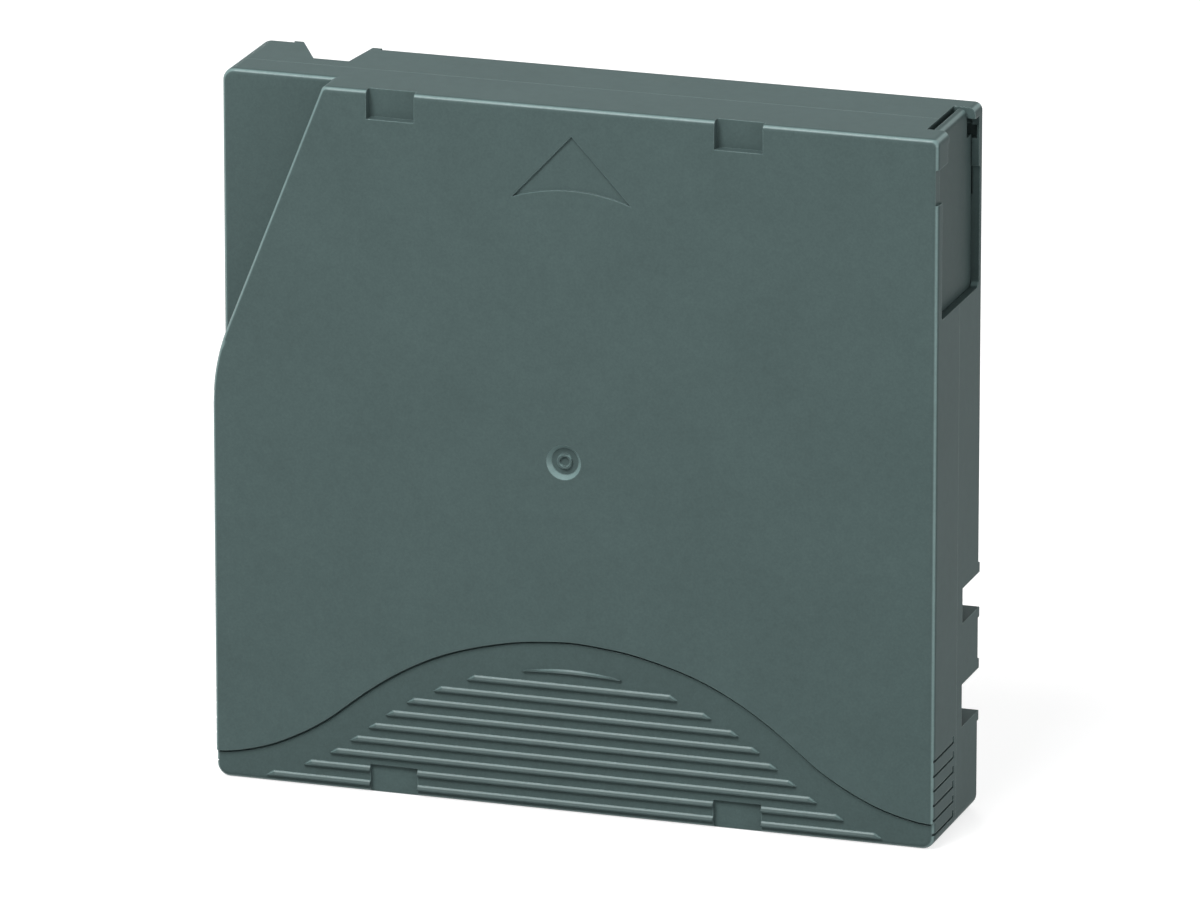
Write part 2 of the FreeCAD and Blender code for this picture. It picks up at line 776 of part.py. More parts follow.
def door():
    """Sliding door: a tall panel behind the side wall with a narrower nose at the leading edge."""
    y0 = upper_in + loose_gap
    y1 = lower_in - loose_gap
    panel = box(door_inner, door_face, y0, y1, door_back_end, length - wall - loose_gap)
    nose = box(door_inner + door_nose_inset, door_face, door_nose[0], door_nose[1], length - wall - 1,
               door_front)
    rim = [e for e in nose.Edges
           if e.BoundBox.XMin > door_face - weld and e.BoundBox.ZMin > door_front - weld]
    nose = nose.makeFillet(door_nose_round, rim)
    seat = box(channel_inner + loose_gap, door_face, -1.9, 1.9, door_back_end, door_back_end + door_seat)
    spigot = Part.makeCylinder(door_spigot_radius, door_spigot_length,
                               at(spring_x(), 0, door_back_end - door_spigot_length))
    body = fuse_all([panel, nose, seat, spigot])
    corner = box(door_inner - 1, door_face + 1, door_nose[1] + weld, y1 + 1, length - door_corner, length)
    return body.cut(corner).removeSplitter()


def spring_x():
    return (channel_inner + half - door_wall) / 2


def door_spring():
    spring = coil(door_spring_radius, door_spring_wire, door_spring_turns, door_spring_length - 2 * fit_gap)
    spring.translate(at(spring_x(), 0, spring_foot + fit_gap))
    return spring


# ---------------------------------------------------------------- leader

def leader_pin():
    """Turned steel pin with a flange each side of the tape and a knob at each end."""
    low = upper_in - pin_pocket + loose_gap
    reach = tape_width / 2 + 0.35
    middle = pin_middle()
    upper_half = [(0, low), (pin_knob - 0.3, low), (pin_knob, low + 0.3), (pin_knob, low + 1.2),
                  (pin_shaft, low + 1.2), (pin_shaft, middle - reach - pin_flange_thickness),
                  (pin_flange, middle - reach - pin_flange_thickness), (pin_flange, middle - reach),
                  (pin_shaft, middle - reach)]
    lower_half = [(radius, 2 * middle - y) for radius, y in reversed(upper_half)]
    return turned(upper_half + lower_half, pin_x, pin_z)


def pin_middle():
    return (upper_in + lower_in) / 2


def pin_clamp():
    """Sprung plastic C clip that grips the tape's end round the pin."""
    inner = pin_shaft + tape_film + 0.04
    outer = inner + clamp_thickness
    y0 = pin_middle() - tape_width / 2
    y1 = y0 + tape_width
    clip = ring(inner, outer, y0, y1, pin_x, pin_z)
    mouth = [(pin_x, pin_z), (pin_x - 3.2, pin_z - 1.6), (pin_x - 3.2, pin_z + 3.2),
             (pin_x + 0.3, pin_z + 3.2)]
    return clip.cut(block(mouth, y0 - 1, y1 + 1))


def tape_leader():
    """The free run of tape from the pack's rim to the pin, turned once under the clip."""
    r = pin_shaft + 0.02 + tape_film / 2
    rim = tape_radius + 0.12
    pack = at(reel_x, 0, reel_z)
    pin = at(pin_x, 0, pin_z)
    bearing = math.atan2(pin.z - pack.z, pin.x - pack.x)
    start_angle = bearing + math.acos((rim - r) / (pin - pack).Length)
    wrap = math.radians(170)

    def on(centre, radius, angle):
        return centre + at(math.cos(angle), 0, math.sin(angle)) * radius

    # each face of the film: straight from the rim, then clockwise round the pin
    faces = []
    for side in (-1, 1):
        grow = side * tape_film / 2
        faces.append((on(pack, rim + grow, start_angle), on(pin, r + grow, start_angle),
                      on(pin, r + grow, start_angle - wrap / 2), on(pin, r + grow, start_angle - wrap)))
    inner, outer = faces
    edges = [Part.LineSegment(inner[0], inner[1]), Part.Arc(inner[1], inner[2], inner[3]),
             Part.LineSegment(inner[3], outer[3]), Part.Arc(outer[3], outer[2], outer[1]),
             Part.LineSegment(outer[1], outer[0]), Part.LineSegment(outer[0], inner[0])]
    wire = Part.Wire([e.toShape() for e in edges])
    return prism(wire, tape_top_y, tape_top_y + tape_width)


def pin_spring():
    """Bent leaf with two arms that press the pin's ends into their tracks."""
    base_z = finger_z - fit_gap - leaf
    bend_x = pin_x - leaf_bend
    y0 = upper_in + 0.4
    y1 = lower_in - 0.4
    parts = [box(bend_x - leaf_length, bend_x, y0, y1, base_z, base_z + leaf)]
    arm_z = pin_z + pin_knob + fit_gap
    for a, b in ((y0, y0 + leaf_arm), (y1 - leaf_arm, y1)):
        parts.append(box(bend_x - leaf, bend_x, a, b, arm_z, base_z + leaf))
        parts.append(box(bend_x - leaf, bend_x + leaf_foot, a, b, arm_z, arm_z + leaf))
    return fuse_all(parts)


# ---------------------------------------------------------------- small parts

def write_protect_tab():
    """Sliding tab: a plate behind the rear wall with a knob in the window."""
    plate = box(tab_left - 1.2, tab_left + tab_window + 1.3, tab_low_y - 0.6, lower_in - running_gap,
                wall + running_gap, wall + tab_thickness)
    knob = box(tab_left + running_gap, tab_left + tab_knob, tab_low_y + running_gap,
               tab_low_y + tab_window_height - running_gap, 0.25, wall + 1.0)
    body = plate.fuse(knob)
    grips = []
    for i in range(3):
        x = tab_left + 0.9 + i * 1.1
        grips.append(box(x, x + 0.4, tab_low_y - 0.2, tab_low_y + 0.2 + tab_window_height, 0, 0.55))
    return body.cut(grips).removeSplitter()


def board_frame(shape):
    """Lay a flat shape, drawn about the origin, on the 45 degree ledges in the rear corner."""
    middle = board_height / 2 + 0.04 - 0.1
    shape.rotate(at(0, 0, 0), at(1, 0, 0), 45)
    shape.translate(at(board_x, lower_in - middle, wall + middle))
    return shape


def memory_board():
    return board_frame(box(-board_width / 2, board_width / 2, -board_length / 2, board_length / 2,
                           0, board_thickness))


def memory_chip():
    top = board_thickness + chip_thickness
    chip = box(-chip_width / 2, chip_width / 2, -chip_width / 2, chip_width / 2, board_thickness, top)
    return board_frame(chip.makeChamfer(0.3, [e for e in chip.Edges if e.BoundBox.ZMin > top - 0.1]))


def screw(place):
    """Pan-head case screw with a cross recess."""
    x, z = place
    top = back - head_depth
    head = disc(screw_head, top - screw_head_height, top, x, z)
    shank = disc(screw_radius - 0.2, top - screw_length, top - 0.5, x, z)
    arm = screw_head - 0.8
    cross = [box(x - arm, x + arm, top - 0.8, top + 1, z - 0.28, z + 0.28),
             box(x - 0.28, x + 0.28, top - 0.8, top + 1, z - arm, z + arm)]
    return head.fuse(shank).cut(cross)


nodes = {
    "upper_shell": upper_shell(),
    "lower_shell": lower_shell(),
    "door": door(),
    "door_spring": door_spring(),
    "reel_hub": reel_hub(),
    "upper_flange": upper_flange(),
    "hub_plate": hub_plate(),
    "tape_pack": tape_pack(),
    "brake_button": brake_button(),
    "brake_spring": brake_spring(),
    "release_spider": release_spider(),
    "leader_pin": leader_pin(),
    "pin_clamp": pin_clamp(),
    "pin_spring": pin_spring(),
    "tape_leader": tape_leader(),
    "write_protect_tab": write_protect_tab(),
    "memory_board": memory_board(),
    "memory_chip": memory_chip(),
}
for i, place in enumerate(screw_places):
    nodes["case_screw_%d" % (i + 1)] = screw(place)

os.makedirs("parts", exist_ok=True)
for name, shape in nodes.items():
    shape.exportStep("parts/%s.step" % name)
    solids = len(shape.Solids)
    print("%-18s solids %d valid %s volume %.1f" % (name, solids, shape.isValid(), shape.Volume))
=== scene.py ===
import math

import bmesh
import bpy
from mathutils import Matrix, Vector


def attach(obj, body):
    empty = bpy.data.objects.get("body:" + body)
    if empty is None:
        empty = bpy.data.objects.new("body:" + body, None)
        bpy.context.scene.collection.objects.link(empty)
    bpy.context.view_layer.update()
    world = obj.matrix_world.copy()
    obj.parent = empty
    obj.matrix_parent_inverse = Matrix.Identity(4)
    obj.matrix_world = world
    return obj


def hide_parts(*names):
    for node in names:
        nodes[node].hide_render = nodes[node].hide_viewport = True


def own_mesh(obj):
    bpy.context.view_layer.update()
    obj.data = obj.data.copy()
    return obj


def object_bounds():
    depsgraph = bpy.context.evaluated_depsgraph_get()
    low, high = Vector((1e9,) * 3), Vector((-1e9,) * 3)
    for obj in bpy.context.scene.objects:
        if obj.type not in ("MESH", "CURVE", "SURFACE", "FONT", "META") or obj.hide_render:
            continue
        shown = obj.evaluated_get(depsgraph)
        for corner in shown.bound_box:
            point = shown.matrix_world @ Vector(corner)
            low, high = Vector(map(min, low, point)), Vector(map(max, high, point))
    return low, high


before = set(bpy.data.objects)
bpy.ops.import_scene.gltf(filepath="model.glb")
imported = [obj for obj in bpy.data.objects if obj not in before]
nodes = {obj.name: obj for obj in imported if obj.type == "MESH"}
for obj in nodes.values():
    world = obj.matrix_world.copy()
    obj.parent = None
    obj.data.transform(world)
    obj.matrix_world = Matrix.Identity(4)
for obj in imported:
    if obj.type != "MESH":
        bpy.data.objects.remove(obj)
cad_low, cad_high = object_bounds()


# ---------------------------------------------------------------- camera
# A long lens looks at the standing cartridge from the right of the main face and a little above,
# so that the main face, the leading edge and the door side all show.
turn = math.radians(18.27)
tilt = math.radians(16.93)
distance = 1.786
aim_right = 0.00067
aim_down = 0.00103
away = Vector((math.sin(turn) * math.cos(tilt), -math.cos(turn) * math.cos(tilt), math.sin(tilt)))
right = Vector((math.cos(turn), math.sin(turn), 0))
up = away.cross(right)
middle = Vector((0, 0, (cad_low[2] + cad_high[2]) / 2))
aim = middle + right * aim_right - up * aim_down

camera_data = bpy.data.cameras.new("camera")
camera_data.lens = 385.5
camera_data.sensor_width = 36
camera_data.clip_start = 0.1
camera_data.clip_end = 20
camera = bpy.data.objects.new("camera", camera_data)
camera.matrix_world = Matrix((right, up, away)).transposed().to_4x4()
camera.location = aim + away * distance
bpy.context.collection.objects.link(camera)
bpy.context.scene.camera = camera


# ---------------------------------------------------------------- floor and light
# A plain pale floor and an even pale surround. A large soft lamp stands high in front of the main
# face and a weak one beside the door. A wide one behind lights the back, but glosses no edge.
floor_size = 4
floor_drop = 0.0001
floor_grey = 0.45
floor_glow = 0.76
ceiling_grey = 0.85
white_up_to = 0.07
grey_from = 0.3
fill_light = 0.32
lamp_target = Vector((0, 0, 0.05))


def new_material(name):
    material = bpy.data.materials.new(name)
    material.use_nodes = True
    material.node_tree.nodes.clear()
    return material, material.node_tree


def grey(level):
    return (level, level, level, 1)


def larger(tree, first, second):
    greater = tree.nodes.new("ShaderNodeMath")
    greater.operation = "MAXIMUM"
    tree.links.new(first, greater.inputs[0])
    tree.links.new(second, greater.inputs[1])
    return greater.outputs[0]


def seen_directly(tree, seen, unseen):
    """One strength for what is seen straight, mirrored or through glass, and one for the rest."""
    path = tree.nodes.new("ShaderNodeLightPath")
    either = larger(tree, path.outputs["Is Camera Ray"], path.outputs["Is Glossy Ray"])
    in_sight = larger(tree, either, path.outputs["Is Transmission Ray"])
    strength = tree.nodes.new("ShaderNodeMapRange")
    strength.inputs["To Min"].default_value = unseen
    strength.inputs["To Max"].default_value = seen
    tree.links.new(in_sight, strength.inputs["Value"])
    return strength.outputs["Result"]


def pale_floor():
    """Paper with a glow that lights nothing, so that it looks white and keeps the shadow."""
    material, tree = new_material("pale_floor")
    out = tree.nodes.new("ShaderNodeOutputMaterial")
    paper = tree.nodes.new("ShaderNodeBsdfDiffuse")
    paper.inputs["Color"].default_value = grey(floor_grey)
    glow = tree.nodes.new("ShaderNodeEmission")
    tree.links.new(seen_directly(tree, floor_glow, 0.0), glow.inputs["Strength"])
    both = tree.nodes.new("ShaderNodeAddShader")
    tree.links.new(paper.outputs[0], both.inputs[0])
    tree.links.new(glow.outputs[0], both.inputs[1])
    tree.links.new(both.outputs[0], out.inputs["Surface"])
    return material


floor_mesh = bpy.data.meshes.new("floor")
sheet = bmesh.new()
bmesh.ops.create_grid(sheet, x_segments=1, y_segments=1, size=floor_size)
bmesh.ops.translate(sheet, verts=sheet.verts, vec=(0, 0, cad_low[2] - floor_drop))
sheet.to_mesh(floor_mesh)
sheet.free()
floor = bpy.data.objects.new("floor", floor_mesh)
floor_mesh.materials.append(pale_floor())
bpy.context.collection.objects.link(floor)


def surround():
    """White up to just above the horizon, and a pale grey ceiling."""
    world = bpy.data.worlds.new("surround")
    world.use_nodes = True
    tree = world.node_tree
    direction = tree.nodes.new("ShaderNodeSeparateXYZ")
    tree.links.new(tree.nodes.new("ShaderNodeTexCoord").outputs["Generated"], direction.inputs[0])
    height = tree.nodes.new("ShaderNodeValToRGB")
    height.color_ramp.elements[0].position = white_up_to
    height.color_ramp.elements[0].color = grey(1)
    height.color_ramp.elements[1].position = grey_from
    height.color_ramp.elements[1].color = grey(ceiling_grey)
    tree.links.new(direction.outputs["Z"], height.inputs["Fac"])
    backdrop = tree.nodes["Background"]
    tree.links.new(height.outputs["Color"], backdrop.inputs["Color"])
    tree.links.new(seen_directly(tree, 1.0, fill_light), backdrop.inputs["Strength"])
    return world


bpy.context.scene.world = surround()
bpy.context.scene.view_settings.view_transform = "Standard"


def soft_lamp(name, place, size, power, mirrored=True):
    data = bpy.data.lights.new(name, "AREA")
    data.shape = "DISK"
    data.size = size
    data.energy = power
    lamp = bpy.data.objects.new(name, data)
    lamp.location = place
    look = lamp_target - Vector(place)
    lamp.rotation_euler = look.to_track_quat("-Z", "Y").to_euler()
    lamp.visible_glossy = mirrored
    bpy.context.collection.objects.link(lamp)


soft_lamp("lamp_key", place=(-0.24, -0.76, 1.02), size=0.7, power=16.3)
soft_lamp("lamp_side", place=(1.15, -0.45, 0.3), size=0.4, power=3.0)
soft_lamp("lamp_back", place=(-0.6, 1.3, 0.35), size=0.6, power=13, mirrored=False)


# ---------------------------------------------------------------- case
# Two halves moulded in dark green-grey polycarbonate, the upper one with the finger field.
# The tool is spark eroded, so every outside face has a fine matt grain. Handling has burnished the
# edges glossy and paler, and a painted highlight makes them paler still. Corners and gaps get
# painted shade, the proud ribs a painted shade over their lit slopes, and the field at the rear
# edge is a shade darker than the rest.
case_colour = (0.073, 0.109, 0.107)
speckle_scale = 700
cloud_scale = 80
burnish_roughness = 0.22
rubbed_and_highlit_reach = 0.0003
# reach of the painted shade that darkens corners and gaps
painted_shade_reach = 0.0018
field_shade = 0.91
# painted shade that tones down the proud ribs, and the painted highlight line kept at each rib's
# foot
rib_painted_shade = 0.88
rib_wear_and_highlight = 0.1
rib_foot_highlight = 0.8
field_floor = -0.0103
bell_top = 0.026
bell_half_width = 0.052
bell_heights = (0.963, 0.954, 0.937, 0.904, 0.862, 0.804, 0.727,
                0.631, 0.515, 0.392, 0.298, 0.225, 0.177, 0.152)


def noise(tree, where, scale, detail=2.0, rough=0.5):
    texture = tree.nodes.new("ShaderNodeTexNoise")
    texture.inputs["Scale"].default_value = scale
    texture.inputs["Detail"].default_value = detail
    texture.inputs["Roughness"].default_value = rough
    tree.links.new(where, texture.inputs["Vector"])
    return texture.outputs["Fac"]


def spread(tree, value, low, high, source=(0.3, 0.7)):
    """Carries a value from its source range to a new range, and holds it there."""
    change = tree.nodes.new("ShaderNodeMapRange")
    change.inputs["From Min"].default_value = source[0]
    change.inputs["From Max"].default_value = source[1]
    change.inputs["To Min"].default_value = low
    change.inputs["To Max"].default_value = high
    tree.links.new(value, change.inputs["Value"])
    return change.outputs["Result"]


def uneven(tree, pattern, average, swing):
    """Wavers about an average as a noise pattern does."""
    return spread(tree, pattern, average - swing, average + swing)


def share(tree, value, start, full):
    """Rises from 0 where a value is at its start to 1 where it is full."""
    return spread(tree, value, 0.0, 1.0, source=(start, full))


def between(tree, amount, outside, inside):
    """One value where a share is 0 and another where it is 1."""
    return spread(tree, amount, outside, inside, source=(0, 1))


def scaled_colour(tree, colour, factor):
    shade = tree.nodes.new("ShaderNodeVectorMath")
    shade.operation = "SCALE"
    shade.inputs[0].default_value = colour
    tree.links.new(factor, shade.inputs["Scale"])
    return shade.outputs["Vector"]


def times(tree, first, *others):
    for other in others:
        product = tree.nodes.new("ShaderNodeMath")
        product.operation = "MULTIPLY"
        tree.links.new(first, product.inputs[0])
        tree.links.new(other, product.inputs[1])
        first = product.outputs["Value"]
    return first


def open_share(tree, reach, alone=False):
    """How open a spot is: 1 on a plain face or an outer edge, and less in a corner or a gap."""
    shelter = tree.nodes.new("ShaderNodeAmbientOcclusion")
    shelter.samples = 2
    shelter.only_local = alone
    shelter.inputs["Distance"].default_value = reach
    return shelter.outputs["AO"]


def rubbed_and_highlit(tree, face_normal, rounded_normal):
    """1 on outer edges, roundings and ribs, which hands rub and which carry a painted highlight,
    and 0 on flat faces and in corners.
    """
    size = tree.nodes.new("ShaderNodeVectorMath")
    size.operation = "ABSOLUTE"
    tree.links.new(face_normal, size.inputs[0])
    part = tree.nodes.new("ShaderNodeSeparateXYZ")
    tree.links.new(size.outputs["Vector"], part.inputs[0])
    squareness = larger(tree, larger(tree, part.outputs["X"], part.outputs["Y"]), part.outputs["Z"])
    agree = tree.nodes.new("ShaderNodeVectorMath")
    agree.operation = "DOT_PRODUCT"
    tree.links.new(rounded_normal, agree.inputs[0])
    tree.links.new(tree.nodes.new("ShaderNodeNewGeometry").outputs["Normal"], agree.inputs[1])
    slanted = share(tree, squareness, start=0.93, full=0.8)
    at_an_edge = share(tree, agree.outputs["Value"], start=0.98, full=0.88)
    outward = share(tree, open_share(tree, rubbed_and_highlit_reach, alone=True), start=0.6, full=0.85)
    return times(tree, larger(tree, slanted, at_an_edge), outward)


def moulded(name, colour, grain=0.00034, depth=0.00002, roughness=0.55, level=0.08, edge=0.0002,
            pale=2.4, gloss=0.4, painted_crease_shade=0.85, field=None):
    """Grained moulding: fine bump, faint mottling, outer edges burnished glossy and painted paler
    as a highlight, and painted shade in corners.
    """
    material, tree = new_material(name)
    out = tree.nodes.new("ShaderNodeOutputMaterial")
    plastic = tree.nodes.new("ShaderNodeBsdfPrincipled")
    plastic.inputs["Specular IOR Level"].default_value = level
    plastic.inputs["Coat Roughness"].default_value = burnish_roughness
    place = tree.nodes.new("ShaderNodeTexCoord")
    where = place.outputs["Object"]
    fine = noise(tree, where, 1 / grain, detail=3, rough=0.6)
    rounding = tree.nodes.new("ShaderNodeBevel")
    rounding.samples = 3
    rounding.inputs["Radius"].default_value = edge
    bump = tree.nodes.new("ShaderNodeBump")
    bump.inputs["Strength"].default_value = 0.5
    bump.inputs["Distance"].default_value = depth
    tree.links.new(fine, bump.inputs["Height"])
    tree.links.new(rounding.outputs["Normal"], bump.inputs["Normal"])
    tree.links.new(bump.outputs["Normal"], plastic.inputs["Normal"])
    tree.links.new(bump.outputs["Normal"], plastic.inputs["Coat Normal"])
    outer = rubbed_and_highlit(tree, place.outputs["Normal"], rounding.outputs["Normal"])
    # the last shade is painted shade: sheltered spots in corners and gaps are darkened in colour
    shades = [uneven(tree, fine, 1.0, 0.06),
              uneven(tree, noise(tree, where, speckle_scale), 1.0, 0.03),
              uneven(tree, noise(tree, where, cloud_scale), 1.0, 0.03),
              spread(tree, open_share(tree, painted_shade_reach), painted_crease_shade, 1.0, source=(0.1, 0.55))]
    if field:
        inside, ribs, highlit_rib_foot = field(tree, where)
        shades.append(between(tree, inside, 1.0, field_shade))
        # painted shade: the proud ribs are darkened to tone down their lit slopes
        shades.append(between(tree, ribs, 1.0, rib_painted_shade))
        # the paler edge is cut back on the ribs but kept at each rib's foot as a painted highlight
        # line
        outer = times(tree, outer, larger(tree, between(tree, ribs, 1.0, rib_wear_and_highlight), highlit_rib_foot))
    # edges, roundings and slopes are made paler, partly as burnished wear and partly as a painted
    # highlight
    shades.append(between(tree, outer, 1.0, pale))
    tree.links.new(scaled_colour(tree, colour, times(tree, *shades)), plastic.inputs["Base Color"])
    tree.links.new(uneven(tree, fine, roughness, 0.05), plastic.inputs["Roughness"])
    tree.links.new(between(tree, outer, 0.0, gloss), plastic.inputs["Coat Weight"])
    tree.links.new(plastic.outputs[0], out.inputs["Surface"])
    return material


def finger_field(tree, where):
    """The field lies under a bell-shaped step near the rear edge, and its ribs rise from it."""
    place = tree.nodes.new("ShaderNodeSeparateXYZ")
    tree.links.new(where, place.inputs[0])
    side = tree.nodes.new("ShaderNodeMath")
    side.operation = "ABSOLUTE"
    tree.links.new(place.outputs["X"], side.inputs[0])
    bell = tree.nodes.new("ShaderNodeFloatCurve")
    points = bell.mapping.curves[0].points
    points[0].location = (0, bell_heights[0])
    points[1].location = (1, bell_heights[-1])
    for step, height in enumerate(bell_heights[1:-1], 1):
        points.new(step / (len(bell_heights) - 1), height)
    bell.mapping.update()
    tree.links.new(share(tree, side.outputs[0], 0, bell_half_width), bell.inputs["Value"])
    below = tree.nodes.new("ShaderNodeMath")
    below.operation = "SUBTRACT"
    tree.links.new(bell.outputs["Value"], below.inputs[0])
    tree.links.new(share(tree, place.outputs["Z"], 0, bell_top), below.inputs[1])
    depth = place.outputs["Y"]
    outside = share(tree, depth, start=field_floor + 0.0002, full=field_floor + 0.00015)
    proud = share(tree, depth, start=field_floor - 0.00002, full=field_floor - 0.00004)
    # the foot of each rib's upper slope, which carries a painted highlight line
    highlit_flank = spread(tree, depth, 0.0, rib_foot_highlight,
                       source=(field_floor - 0.00022, field_floor - 0.00014))
    under = times(tree, share(tree, below.outputs[0], start=0.01, full=0.02), outside)
    return under, times(tree, under, proud), times(tree, under, highlit_flank)


def dress(material, *names):
    for name in names:
        for slot in nodes[name].material_slots:
            slot.material = material


dress(moulded("case_plastic", case_colour, field=finger_field), "upper_shell", "lower_shell")


# ---------------------------------------------------------------- case screws
# Five self-tapping screws drawn up from the lower shell hold the halves together.
# They are cold headed and zinc plated with a dark passivation.
# reach of the painted shade that darkens the metal in corners and gaps
painted_metal_shade_reach = 0.0015


def steel(name, colour, roughness, marks, streak=(1, 1, 1), centre=(0, 0, 0)):
    """Metal whose fine marks are drawn out along the directions with a low streak."""
    material, tree = new_material(name)
    out = tree.nodes.new("ShaderNodeOutputMaterial")
    metal = tree.nodes.new("ShaderNodeBsdfPrincipled")
    metal.inputs["Metallic"].default_value = 1
    drawn = tree.nodes.new("ShaderNodeMapping")
    drawn.inputs["Location"].default_value = tuple(-a * b for a, b in zip(centre, streak))
    drawn.inputs["Scale"].default_value = streak
    tree.links.new(tree.nodes.new("ShaderNodeTexCoord").outputs["Object"], drawn.inputs["Vector"])
    fine = noise(tree, drawn.outputs["Vector"], marks, detail=3)
    broad = noise(tree, drawn.outputs["Vector"], marks / 12)
    bump = tree.nodes.new("ShaderNodeBump")
    bump.inputs["Strength"].default_value = 0.35
    bump.inputs["Distance"].default_value = 0.00001
    tree.links.new(fine, bump.inputs["Height"])
    tree.links.new(bump.outputs["Normal"], metal.inputs["Normal"])
    # painted shade: the metal is darkened to half its colour in corners and gaps
    shade = times(tree, uneven(tree, fine, 1.0, 0.1), uneven(tree, broad, 0.99, 0.07),
                  spread(tree, open_share(tree, painted_metal_shade_reach), 0.5, 1.0, source=(0.2, 0.85)))
    tree.links.new(scaled_colour(tree, colour, shade), metal.inputs["Base Color"])
    tree.links.new(uneven(tree, broad, roughness, 0.06), metal.inputs["Roughness"])
    tree.links.new(metal.outputs[0], out.inputs["Surface"])
    return material


zinc_plate = steel("zinc_plate", colour=(0.33, 0.33, 0.35), roughness=0.38, marks=3000)
dress(zinc_plate, *["case_screw_%d" % number for number in range(1, 6)])


# ---------------------------------------------------------------- door and its spring
# A thin sliding door in the same plastic, with a finer grain so that it runs easily in its track.
# Its colour is darker than the case's, as painted shade of the recess the door sits in.
# The spring that closes it is wound from drawn wire, with a closed turn at each end.
door_spring_foot = (0.05005, 0, 0.03605)
door_spring_length = 0.0299
wire_sides = 8
steps_a_turn = 20
counting_line = Vector((0.613, 0.377, 1))

dress(moulded("door_plastic", (0.060, 0.090, 0.088), depth=0.000012), "door")


def ring_of_wire(coil, wire, radius, along):
    """One capped circle of wire, standing beside the axis of the coil."""
    start = bmesh.ops.create_circle(coil, cap_ends=True, segments=wire_sides, radius=wire / 2)
    upright = Matrix.Rotation(math.pi / 2, 3, "X")
    bmesh.ops.rotate(coil, verts=start["verts"], cent=(0, 0, 0), matrix=upright)
    bmesh.ops.translate(coil, verts=start["verts"], vec=(radius, 0, along))
    return start["verts"] + list(coil.edges) + list(coil.faces)


def wind(coil, geometry, turns, pitch):
    """Winds on from the last circle, rising by one pitch a turn."""
    steps = round(turns * steps_a_turn)
    wound = bmesh.ops.spin(coil, geom=geometry, cent=(0, 0, 0), axis=(0, 0, 1),
                           dvec=(0, 0, pitch * turns / steps), angle=2 * math.pi * turns,
                           steps=steps)
    return wound["geom_last"]


def coil_spring(name, radius, wire, length, turns, place):
    """A compression spring along its own Z, closed at both ends, then turned to its place."""
    coil = bmesh.new()
    open_turns = turns - 2
    open_length = length - 3 * wire
    end = ring_of_wire(coil, wire, radius, wire / 2)
    end = wind(coil, end, 1, wire)
    end = wind(coil, end, open_turns, open_length / open_turns)
    wind(coil, end, 1, wire)
    bmesh.ops.transform(coil, matrix=place, verts=coil.verts)
    # winding numbers the corners in no fixed order, so they are counted again along one line
    coil.verts.sort(key=lambda corner: corner.co.dot(counting_line))
    coil.faces.sort(key=lambda face: face.calc_center_median().dot(counting_line))
    bmesh.ops.recalc_face_normals(coil, faces=coil.faces)
    for face in coil.faces:
        face.smooth = True
    mesh = bpy.data.meshes.new(name)
    coil.to_mesh(mesh)
    coil.free()
    piece = bpy.data.objects.new(name, mesh)
    bpy.context.collection.objects.link(piece)
    return piece


door_coil = coil_spring("door_coil", radius=0.00105, wire=0.0004, length=door_spring_length,
                        turns=12, place=Matrix.Translation(door_spring_foot))
music_wire = steel("music_wire", colour=(0.55, 0.55, 0.54), roughness=0.28, marks=4000)
door_coil.data.materials.append(music_wire)
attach(door_coil, "case")
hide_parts("door_spring")
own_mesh(door_coil)


# ---------------------------------------------------------------- reel
# Hub and flanges in natural unfilled polycarbonate, pale and a little waxy; the hub's ring of drive
# teeth shows in the opening of the lower shell. The steel plate that the drive's magnet holds is
# stamped and tumbled.
reel_axis = (-0.00105, 0, 0.0511)

# its corners and gaps get a painted shade
dress(moulded("reel_plastic", (0.60, 0.61, 0.585), grain=0.0008, depth=0.000006, roughness=0.42,
              level=0.4, pale=1.1, painted_crease_shade=0.6), "reel_hub", "upper_flange")
dress(steel("stamped_plate", colour=(0.5, 0.5, 0.49), roughness=0.36, marks=900,
            centre=reel_axis), "hub_plate")


# ---------------------------------------------------------------- reel brake
# The button, its toothed ring and the three-legged release pad are low-friction acetal.
# A wide spring of round wire under the upper shell presses the button onto the hub.
brake_spring_top = (reel_axis[0], -0.0087, reel_axis[2])
brake_spring_length = 0.0119

# its corners and gaps get a strong painted shade
dress(moulded("acetal", (0.78, 0.78, 0.75), grain=0.0012, depth=0.000004, roughness=0.38,
              level=0.45, pale=1.05, painted_crease_shade=0.3), "brake_button", "release_spider")

along_y = Matrix.Rotation(-math.pi / 2, 4, "X")
brake_coil = coil_spring("brake_coil", radius=0.007, wire=0.0007, length=brake_spring_length,
                         turns=4, place=Matrix.Translation(brake_spring_top) @ along_y)
brake_coil.data.materials.append(music_wire)
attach(brake_coil, "case")
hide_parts("brake_spring")
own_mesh(brake_coil)


# ---------------------------------------------------------------- tape
# Half-inch coated film wound on the hub: the sides of the pack show the edges of the turns as fine
# rings, and the free end is clipped round the leader pin.
turn_scale = 9000
band_scale = 500


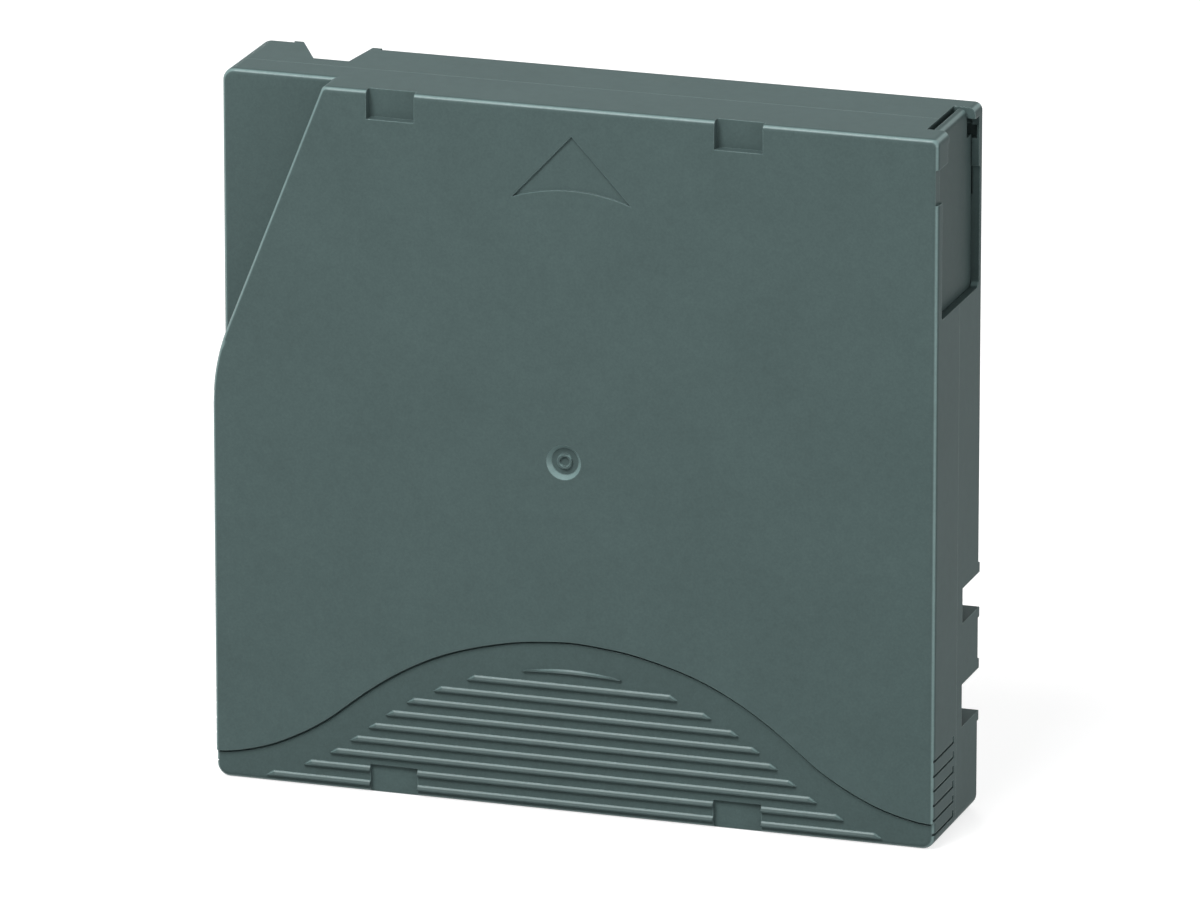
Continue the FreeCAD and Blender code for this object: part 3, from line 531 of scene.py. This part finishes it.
def wound_film(name, colour, centre):
    """Film whose shade and bump change only with the distance from the reel's axis."""
    material, tree = new_material(name)
    out = tree.nodes.new("ShaderNodeOutputMaterial")
    film = tree.nodes.new("ShaderNodeBsdfPrincipled")
    film.inputs["Specular IOR Level"].default_value = 0.6
    centred = tree.nodes.new("ShaderNodeMapping")
    centred.inputs["Location"].default_value = (-centre[0], 0, -centre[2])
    centred.inputs["Scale"].default_value = (1, 0, 1)
    tree.links.new(tree.nodes.new("ShaderNodeTexCoord").outputs["Object"], centred.inputs["Vector"])
    radius = tree.nodes.new("ShaderNodeVectorMath")
    radius.operation = "LENGTH"
    tree.links.new(centred.outputs["Vector"], radius.inputs[0])
    outward = tree.nodes.new("ShaderNodeCombineXYZ")
    tree.links.new(radius.outputs["Value"], outward.inputs["X"])
    turns = noise(tree, outward.outputs["Vector"], turn_scale)
    bands = noise(tree, outward.outputs["Vector"], band_scale, detail=3)
    bump = tree.nodes.new("ShaderNodeBump")
    bump.inputs["Strength"].default_value = 0.4
    bump.inputs["Distance"].default_value = 0.00001
    tree.links.new(turns, bump.inputs["Height"])
    tree.links.new(bump.outputs["Normal"], film.inputs["Normal"])
    shade = times(tree, uneven(tree, turns, 1.0, 0.2), uneven(tree, bands, 1.05, 0.3))
    tree.links.new(scaled_colour(tree, colour, shade), film.inputs["Base Color"])
    tree.links.new(uneven(tree, bands, 0.28, 0.08), film.inputs["Roughness"])
    tree.links.new(film.outputs[0], out.inputs["Surface"])
    return material


dress(wound_film("tape_film", (0.027, 0.023, 0.02), reel_axis), "tape_pack", "tape_leader")


# ---------------------------------------------------------------- leader pin
# A turned stainless pin with a flange at each end, gripped by a black sprung clip on the tape and
# held in its pocket by a bent strip of spring steel.
dress(steel("turned_pin", colour=(0.62, 0.62, 0.61), roughness=0.22, marks=900,
            streak=(0.05, 4, 0.05)), "leader_pin")
dress(moulded("clip_plastic", (0.028, 0.028, 0.03), grain=0.0006, depth=0.000006, roughness=0.4,
              level=0.4, pale=1.4), "pin_clamp")
dress(steel("spring_strip", colour=(0.5, 0.5, 0.49), roughness=0.3, marks=1500,
            streak=(1, 0.06, 1)), "pin_spring")


# ---------------------------------------------------------------- write-protect tab
# A slider moulded in red-orange plastic, which sits behind a window in the rear edge.
# It is pushed along with a finger nail, and its place tells the drive whether it may write.
dress(moulded("tab_plastic", (0.45, 0.115, 0.05), grain=0.0006, depth=0.000008, roughness=0.45,
              level=0.35, pale=1.2), "write_protect_tab")


# ---------------------------------------------------------------- cartridge memory
# A small board set aslant near the rear edge so that a reader can face it, with its aerial as a
# flat coil of track round the edge under green resist and one black chip in the middle.
board_middle = (0.033, 0.0053, 0.00545)
board_slant = math.radians(-45)
board_half = (0.007, 0.005)
track_inside = 0.5
track_outside = 0.93
track_turns = 7
track_edge = 0.001
track_pale = 1.9
weave_scale = 2500


def resist_over_track(name, colour):
    """Green resist, paler and a little proud where it covers the square coil of track."""
    material, tree = new_material(name)
    out = tree.nodes.new("ShaderNodeOutputMaterial")
    board = tree.nodes.new("ShaderNodeBsdfPrincipled")
    board.inputs["Specular IOR Level"].default_value = 0.5
    where = tree.nodes.new("ShaderNodeTexCoord").outputs["Object"]
    flat = tree.nodes.new("ShaderNodeMapping")
    flat.vector_type = "TEXTURE"
    flat.inputs["Location"].default_value = board_middle
    flat.inputs["Rotation"].default_value = (board_slant, 0, 0)
    flat.inputs["Scale"].default_value = (board_half[0], 1, board_half[1])
    tree.links.new(where, flat.inputs["Vector"])
    absolute = tree.nodes.new("ShaderNodeVectorMath")
    absolute.operation = "ABSOLUTE"
    tree.links.new(flat.outputs["Vector"], absolute.inputs[0])
    place = tree.nodes.new("ShaderNodeSeparateXYZ")
    tree.links.new(absolute.outputs["Vector"], place.inputs[0])
    square = larger(tree, place.outputs["X"], place.outputs["Z"])
    wave = tree.nodes.new("ShaderNodeMath")
    wave.operation = "SINE"
    tree.links.new(spread(tree, square, 0.0, 2 * math.pi * track_turns,
                          source=(track_inside, track_outside)), wave.inputs[0])
    track = times(tree, share(tree, wave.outputs[0], start=-0.1, full=0.1),
                  share(tree, square, track_inside - track_edge, track_inside + track_edge),
                  share(tree, square, track_outside + track_edge, track_outside - track_edge))
    weave = noise(tree, where, weave_scale)
    shade = times(tree, between(tree, track, 1.0, track_pale), uneven(tree, weave, 1.0, 0.1))
    tree.links.new(scaled_colour(tree, colour, shade), board.inputs["Base Color"])
    bump = tree.nodes.new("ShaderNodeBump")
    bump.inputs["Strength"].default_value = 0.5
    bump.inputs["Distance"].default_value = 0.00003
    tree.links.new(track, bump.inputs["Height"])
    tree.links.new(bump.outputs["Normal"], board.inputs["Normal"])
    tree.links.new(uneven(tree, weave, 0.3, 0.05), board.inputs["Roughness"])
    tree.links.new(board.outputs[0], out.inputs["Surface"])
    return material


dress(resist_over_track("green_resist", (0.02, 0.13, 0.055)), "memory_board")
dress(moulded("chip_resin", (0.022, 0.022, 0.022), grain=0.0003, depth=0.00001, roughness=0.55,
              level=0.3, pale=1.2), "memory_chip")
